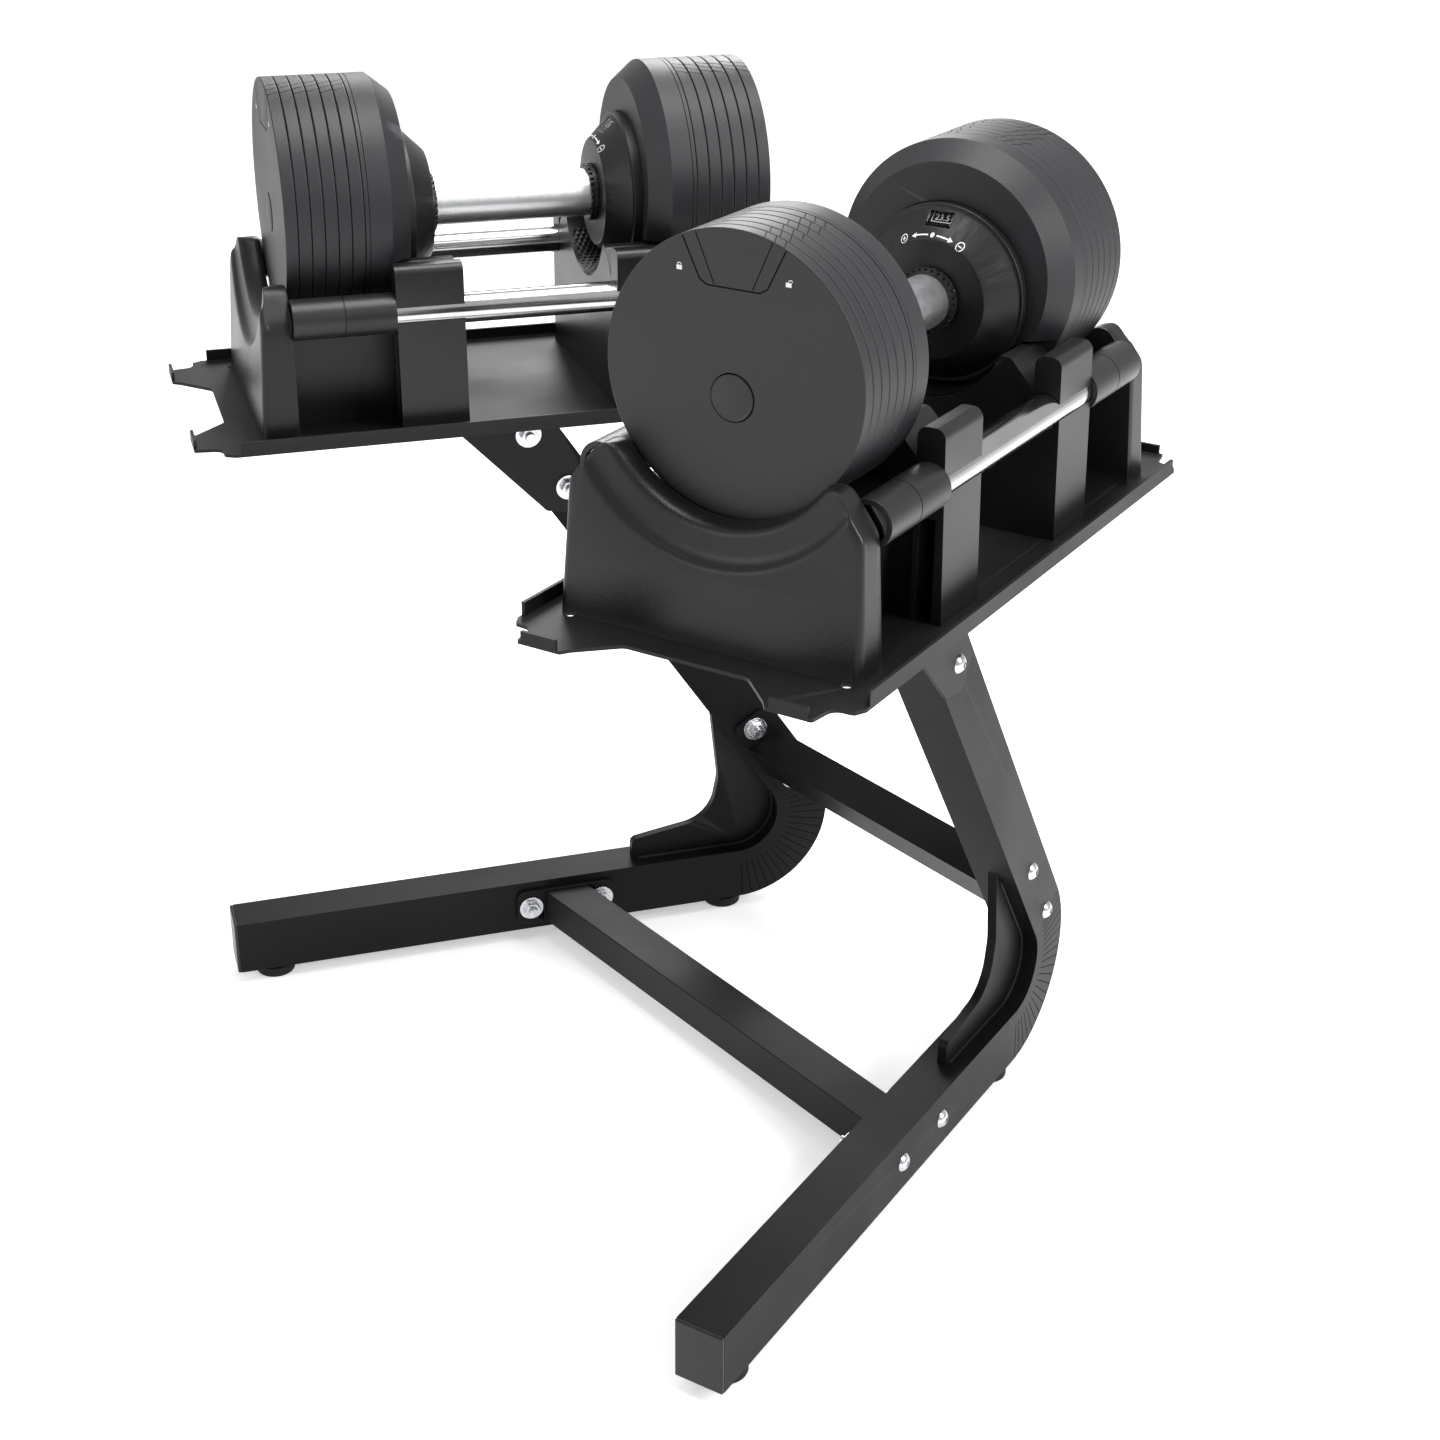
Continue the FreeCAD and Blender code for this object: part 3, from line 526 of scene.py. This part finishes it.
def makeGrip(side):
    # profile of radius against length (outside, rounded lip, inside) turned round the handle axis
    g = gripSizes
    along = np.concatenate([np.linspace(-g["half"] + g["edge"], g["half"] - g["edge"], g["along"]),
                            [g["half"], g["half"], -g["half"], -g["half"]]])
    radius = np.concatenate([np.full(g["along"], g["radius"]),
                             [g["radius"] - g["edge"], g["bore"], g["bore"], g["radius"] - g["edge"]]])
    turn = np.linspace(0, 2 * np.pi, g["around"], endpoint=False)
    across = radius[:, None] * np.cos(turn)[None, :] * mm
    up = radius[:, None] * np.sin(turn)[None, :] * mm
    points = toWorld(side, across, along[:, None] * mm, up)
    faces = gridFaces(len(along), g["around"], wrapRows=True, wrapColumns=True)
    piece = pieceFromArrays(side + "GripTube", points, faces, finish["aluminium"])
    outwardNormals(piece)
    uv = piece.data.uv_layers.new(name="turned")
    corner = np.zeros(len(piece.data.loops), np.int32)
    piece.data.loops.foreach_get("vertex_index", corner)
    uv.data.foreach_set("uv", np.stack([corner // g["around"] / len(along),
                                        np.abs(turn[corner % g["around"]] / np.pi - 1)], -1).ravel())
    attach(piece, side + "_handle")
    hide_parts(side + "_grip")


for side in sides:
    makeGrip(side)
print("grips made")


# marks on the hub: turn this way for more, that way for less

hubSizes = {"nose": 68.0, "noseRadius": 41.5, "outerRadius": 59.0, "taper": 18.0, "markRadius": 43.6,
            "markTurn": 28.5, "markLift": 0.22, "badge": 2.5, "badgeLine": 0.55, "barHalf": 1.4, "bar": 0.6,
            "shaftFrom": 3.2, "shaftTo": 12.5, "shaft": 0.8, "tip": 15.6, "tipBase": 12.2, "tipHalf": 1.5}
hubSlope = (hubSizes["outerRadius"] - hubSizes["noseRadius"]) / hubSizes["taper"]


def onHub(side, flat, lift):
    # flat x runs round the hub and flat y outwards; the hub's flat nose turns into its cone past noseRadius
    z = hubSizes
    radius = z["markRadius"] + flat[:, 1]
    turn = flat[:, 0] / z["markRadius"]
    ahead = -z["nose"] - np.maximum(radius - z["noseRadius"], 0) / hubSlope + lift
    radius = radius + lift * 0.6
    return toWorld(side, radius * np.sin(turn) * mm, ahead * mm, radius * np.cos(turn) * mm)


def makeTurnMarks(side):
    # a dot, a ringed plus and a ringed minus at equal gaps, and an arrow from the dot to each
    z = hubSizes
    gap = z["markRadius"] * np.radians(z["markTurn"])
    half = z["barHalf"]
    marks = [
        stroke(arcLine((0, 0), half / 2, 0, 360, 20)[:-1], half, closed=True),
        stroke(arcLine((-gap, 0), z["badge"], 0, 360, 40)[:-1], z["badgeLine"], closed=True),
        stroke(arcLine((gap, 0), z["badge"], 0, 360, 40)[:-1], z["badgeLine"], closed=True),
        stroke(lineThrough([(-gap - half, 0), (-gap + half, 0)]), z["bar"]),
        stroke(lineThrough([(-gap, -half), (-gap, half)]), z["bar"]),
        stroke(lineThrough([(gap - half, 0), (gap + half, 0)]), z["bar"]),
    ]
    for sign in (-1, 1):
        marks.append(stroke(lineThrough([(sign * z["shaftFrom"], 0), (sign * z["shaftTo"], 0)]), z["shaft"]))
        base = sign * z["tipBase"]
        tip = np.array([(sign * z["tip"], 0), (base, z["tipHalf"]), (base, -z["tipHalf"])])
        marks.append((tip, [[0, 1, 2] if sign < 0 else [0, 2, 1]]))
    flat, faces = merged(marks)
    piece = pieceFromArrays(side + "TurnMarks", onHub(side, flat, z["markLift"]), faces,
                            finish["print"], smooth=False)
    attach(piece, side + "_dumbbell")


numberSizes = {"lightest": 3.5, "step": 2.5, "count": 14, "shown": 8, "turn": 24.0, "size": 6.4,
               "radius": 52.2, "backFromHub": 6.0, "frameHalf": (7.2, 3.7), "frameLine": 0.5,
               "outwardLift": 0.15, "aheadLift": 0.35}


def makeNumbers(side):
    # every setting round the number wheel, each in its frame, one step of the handle apart
    z = numberSizes
    slope = math.atan(hubSlope)
    x, y = z["frameHalf"]
    frameLine = stroke(lineThrough([(-x, y), (x, y), (x, -y), (-x, -y), (-x, y)]), z["frameLine"])
    groups = []
    for index in range(z["count"]):
        weight = z["lightest"] + z["step"] * index
        flat, faces = merged([textShape(f"{weight:g}", z["size"]), frameLine])
        outward = z["radius"] + flat[:, 1] * math.sin(slope) + z["outwardLift"]
        ahead = -(hubSizes["nose"] + z["backFromHub"] + (z["radius"] - hubSizes["noseRadius"]) / hubSlope)
        ahead = ahead - flat[:, 1] * math.cos(slope) + z["aheadLift"]
        turn = math.radians((index - z["shown"]) * z["turn"])
        across = flat[:, 0] * math.cos(turn) + outward * math.sin(turn)
        up = outward * math.cos(turn) - flat[:, 0] * math.sin(turn)
        groups.append((np.stack([across, ahead, up], 1), faces))
    local, faces = merged(groups)
    points = toWorld(side, local[:, 0] * mm, local[:, 1] * mm, local[:, 2] * mm)
    piece = pieceFromArrays(side + "WheelNumbers", points, faces, finish["print"], smooth=False)
    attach(piece, side + "_handle")


for side in sides:
    makeTurnMarks(side)
    makeNumbers(side)
print("hub marks and numbers made")


# outer disc: slot outline with banded flanks at the top, a small closed and a small open lock

discSizes = {"radius": 89.0, "centreUp": 12.5, "face": 189.0, "lift": 0.1, "seam": 0.9,
             "slotLow": 66.0, "slotHalf": 20.0, "slotTopHalf": 35.0, "bandTop": 9.0, "bandLow": 7.0,
             "lockSide": 37.0, "lockUp": 74.0, "lockBody": (1.9, 1.6, 1.1), "lockLoop": (1.4, 1.2, 0.5)}


def placeFlat(side, end, flat, lift):
    # a drawing laid on the outer face, x across and y up from the handle axis
    sign = 1 if end == "front" else -1
    ahead = np.full(len(flat), sign * (discSizes["face"] + lift))
    return toWorld(side, flat[:, 0] * mm, ahead * mm, flat[:, 1] * mm)


def makeDiscMarks(side, end):
    # a point at the rim stands as high above the disc's centre as its circle, less 1 mm, is there
    z = discSizes
    low, half, bandHalf = z["slotLow"], z["slotHalf"], z["slotTopHalf"] - z["bandTop"]
    top = z["centreUp"] + math.sqrt((z["radius"] - 1) ** 2 - z["slotTopHalf"] ** 2)
    bandTop = z["centreUp"] + math.sqrt((z["radius"] - 1) ** 2 - bandHalf ** 2)
    corners = [(-z["slotTopHalf"], top), (-half - 3, low + 3), (-half + 2, low),
               (half - 2, low), (half + 3, low + 3), (z["slotTopHalf"], top)]
    seams = [stroke(lineThrough(corners), z["seam"])]
    for sign in (-1, 1):
        flank = [(sign * bandHalf, bandTop), (sign * (half - z["bandLow"]), low + 1)]
        seams.append(stroke(lineThrough(flank), z["seam"] * 0.7))
    flat, faces = merged(seams)
    piece = pieceFromArrays(f"{side}{end.title()}DiscSeams", placeFlat(side, end, flat, z["lift"]), faces,
                            finish["seam"], smooth=False)
    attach(piece, side + "_dumbbell")
    half, under, over = z["lockBody"]
    loopUp, loopRadius, loopLine = z["lockLoop"]
    locks = []
    for sign, opened in ((-1, 0.0), (1, loopRadius)):
        x, y = sign * z["lockSide"], z["lockUp"]
        body = np.array([(x - half, y - under), (x + half, y - under),
                         (x + half, y + over), (x - half, y + over)])
        locks.append((body, [[0, 1, 2, 3]]))
        locks.append(stroke(arcLine((x + opened, y + loopUp), loopRadius, -90, 90, 14), loopLine))
    flat, faces = merged(locks)
    piece = pieceFromArrays(f"{side}{end.title()}LockMarks", placeFlat(side, end, flat, z["lift"]), faces,
                            finish["print"], smooth=False)
    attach(piece, side + "_dumbbell")


keySizes = {"from": 129.0, "pitch": 10.0, "count": 6, "slant": 2.6, "stagger": 1.6, "width": 0.55,
            "turns": (9.0, 13.5, 18.0)}


def makeKeySeams(side, end):
    # staggered slanting joints across the tops of the discs, drawn round the discs' own cylinder
    z = keySizes
    sign = 1 if end == "front" else -1
    seams = []
    for turn in z["turns"]:
        for hand in (-1, 1):
            for k in range(z["count"]):
                shift = z["stagger"] * (k % 2)
                start = ((turn + shift) * hand, z["from"] + k * z["pitch"] + 0.6)
                finishPoint = ((turn + shift + z["slant"]) * hand, z["from"] + (k + 1) * z["pitch"] - 0.3)
                line = lineThrough([start, finishPoint], 1.0)
                line[:, 0] *= np.pi / 180 * discSizes["radius"]
                seams.append(stroke(line, z["width"]))
    flat, faces = merged(seams)
    angle = flat[:, 0] / discSizes["radius"]
    radius = discSizes["radius"] + 0.06
    points = toWorld(side, radius * np.sin(angle) * mm, sign * flat[:, 1] * mm,
                     (discSizes["centreUp"] + radius * np.cos(angle)) * mm)
    piece = pieceFromArrays(f"{side}{end.title()}KeySeams", points, faces, finish["seam"], smooth=False)
    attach(piece, side + "_dumbbell")


for side in sides:
    for end in ("front", "rear"):
        makeDiscMarks(side, end)
        makeKeySeams(side, end)
print("disc marks made")


# bend of each leg: a fan of fine slits round the outside, and weld beads along the gusset

bendSizes = {
    "spread": 203.4, "halfAngle": 20.5, "forward": 126.165, "halfWidth": 19.25, "station": -76.3,
    "height": 98.0, "outer": 86.0, "inner": 37.5, "lean": 34.0,
    "slitFrom": 50.0, "slits": 21, "slitWidth": 0.8, "slitLift": 0.07, "slitMargin": 3.0, "corner": 1.8,
    "beadRadius": 1.9, "beadRipple": 2.6, "beadStart": 20.0, "beadTop": 190.0, "beadSides": 10,
    "gussetHalf": 4.0,
}


def legPoint(side, station, across, up):
    # a point of the leg's own plane turned outwards by half the stand's angle
    z = bendSizes
    turn = math.radians(z["halfAngle"])
    station, across, up = np.broadcast_arrays(station, across, up)
    x = z["spread"] + station * math.sin(turn) + across * math.cos(turn)
    y = -station * math.cos(turn) + across * math.sin(turn) + z["forward"]
    sign = 1 if side == "right" else -1
    return np.stack([sign * x, y, up], -1).reshape(-1, 3) * mm


def makeSlits(side):
    # each slit runs up one face, over the outside of the bend and down the other face
    z = bendSizes
    turn = np.linspace(z["slitMargin"], 90 + z["lean"] - z["slitMargin"], z["slits"])
    turn = np.radians(turn)[:, None, None]
    corner, edge, top = z["corner"], z["outer"] - z["corner"], z["outer"] + z["slitLift"]
    radius = np.array([z["slitFrom"], edge, top, top, edge, z["slitFrom"]])[None, :, None]
    half = z["halfWidth"] + z["slitLift"]
    across = np.array([-half, -half, -half + corner, half - corner, half, half])[None, :, None]
    spread = np.array([-0.5, 0.5])[None, None, :] * z["slitWidth"] / radius
    angle = turn + spread
    station = z["station"] - radius * np.sin(angle)
    up = z["height"] - radius * np.cos(angle)
    points = legPoint(side, station, np.broadcast_to(across, station.shape), up)
    strip = np.arange(5)
    one = np.stack([strip * 2, strip * 2 + 1, strip * 2 + 3, strip * 2 + 2], 1)
    faces = (one[None] + (np.arange(z["slits"]) * 12)[:, None, None]).reshape(-1, 4).tolist()
    piece = pieceFromArrays(side + "BendSlits", points, faces, finish["seam"], smooth=False)
    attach(piece, "stand")


def makeBeads(side):
    # a small rippled round carried along the floor run, round the inside of the bend and up the upright
    z = bendSizes
    lean = math.radians(z["lean"])
    endTurn = math.pi / 2 + lean
    runTop = z["height"] - z["inner"]
    floorRun = np.linspace([z["beadStart"], runTop], [z["station"], runTop], 110)
    turn = np.linspace(0, endTurn, 90)[1:]
    bend = np.stack([z["station"] - z["inner"] * np.sin(turn), z["height"] - z["inner"] * np.cos(turn)], 1)
    rise = np.linspace(0, (z["beadTop"] - bend[-1, 1]) / math.cos(lean), 90)[1:, None]
    upright = bend[-1] + rise * [math.sin(lean), math.cos(lean)]
    path = np.concatenate([floorRun, bend, upright])
    ahead = np.gradient(path, axis=0)
    ahead /= np.linalg.norm(ahead, axis=1)[:, None]
    outward = np.stack([-ahead[:, 1], ahead[:, 0]], 1) * -1
    length = np.concatenate([[0], np.cumsum(np.linalg.norm(np.diff(path, axis=0), axis=1))])
    ripple = 1 + 0.16 * np.sin(2 * np.pi * length / z["beadRipple"])
    ends = np.clip(np.minimum(length, length[-1] - length) / 4, 0.05, 1)
    size = z["beadRadius"] * ripple * ends
    count = z["beadSides"]
    around = np.linspace(0, 2 * np.pi, count, endpoint=False)
    for number, hand in enumerate((-1, 1)):
        across = hand * (z["gussetHalf"] + 0.4) + size[:, None] * np.cos(around)[None, :]
        offset = size[:, None] * np.sin(around)[None, :]
        station = path[:, :1] + outward[:, :1] * offset
        up = path[:, 1:] + outward[:, 1:] * offset
        points = legPoint(side, station, across, up)
        faces = gridFaces(len(path), count, wrapColumns=True)
        faces += [list(range(count)), list(range((len(path) - 1) * count, len(path) * count))]
        piece = pieceFromArrays(f"{side}WeldBead{number + 1}", points, faces, finish["powder"],
                                sharpAngle=75)
        outwardNormals(piece)
        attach(piece, "stand")


for side in sides:
    makeSlits(side)
    makeBeads(side)
print("bend slits and weld beads made")


# floor, lamps and camera
floorSizes = {"half": 30.0, "glow": 0.42}


def makeFloor():
    half = floorSizes["half"]
    mesh = bpy.data.meshes.new("paleFloor")
    corners = [(-half, -half, 0), (half, -half, 0), (half, half, 0), (-half, half, 0)]
    mesh.from_pydata(corners, [], [(0, 1, 2, 3)])
    floor = bpy.data.objects.new("paleFloor", mesh)
    bpy.context.scene.collection.objects.link(floor)
    material, tree, shader = newMaterial("palePaper")
    shader.inputs["Base Color"].default_value = (0.93, 0.93, 0.93, 1)
    shader.inputs["Roughness"].default_value = 0.9
    shader.inputs["Emission Color"].default_value = (1, 1, 1, 1)
    shader.inputs["Emission Strength"].default_value = floorSizes["glow"]
    mesh.materials.append(material)


def softLight(name, place, target, size, power):
    light = bpy.data.lights.new(name, "AREA")
    light.shape = "RECTANGLE"
    light.size, light.size_y = size
    light.energy = power
    lamp = bpy.data.objects.new(name, light)
    lamp.location = place
    lamp.rotation_euler = (Vector(target) - Vector(place)).to_track_quat("-Z", "Y").to_euler()
    bpy.context.scene.collection.objects.link(lamp)


worldStrength = 0.62

# where each lamp stands, what it faces, its size in metres and its power in watts
lightSizes = {
    "keyRight": ((2.4, 0.9, 1.9), (0.1, 0, 0.5), (0.9, 1.3), 60),
    "fillFront": ((-0.6, -3.0, 1.5), (0, 0, 0.5), (1.4, 1.2), 16),
    "topSoft": ((0.2, 0.2, 2.6), (0, 0, 0.5), (1.2, 1.2), 48),
    "backRim": ((-2.2, 1.6, 2.2), (0, 0, 0.6), (1.0, 1.4), 45),
}


def makeLights():
    for name, (place, target, size, power) in lightSizes.items():
        softLight(name, place, target, size, power)
    world = bpy.data.worlds.new("paleStudio")
    world.use_nodes = True
    background = world.node_tree.nodes["Background"]
    background.inputs["Color"].default_value = (1, 1, 1, 1)
    background.inputs["Strength"].default_value = worldStrength
    bpy.context.scene.world = world
    bpy.context.scene.view_settings.view_transform = "Standard"


cameraSizes = {
    "place": (1.2998, -0.9810, 1.1116), "azimuth": 51.68, "elevation": 24.72, "roll": 0.5,
    "lens": 57.0, "shift": (-0.00286, -0.0367),
}


def makeCamera():
    c = cameraSizes
    data = bpy.data.cameras.new("studioCamera")
    data.lens = c["lens"]
    data.sensor_width = 36
    data.shift_x, data.shift_y = c["shift"]
    data.dof.use_dof = False
    camera = bpy.data.objects.new("studioCamera", data)
    turn = (Matrix.Rotation(math.radians(c["azimuth"]), 4, "Z")
            @ Matrix.Rotation(math.radians(90 - c["elevation"]), 4, "X")
            @ Matrix.Rotation(math.radians(c["roll"]), 4, "Z"))
    camera.matrix_world = Matrix.Translation(c["place"]) @ turn
    bpy.context.scene.collection.objects.link(camera)
    bpy.context.scene.camera = camera


makeFloor()
makeLights()
makeCamera()
print("floor, lights and camera ready")
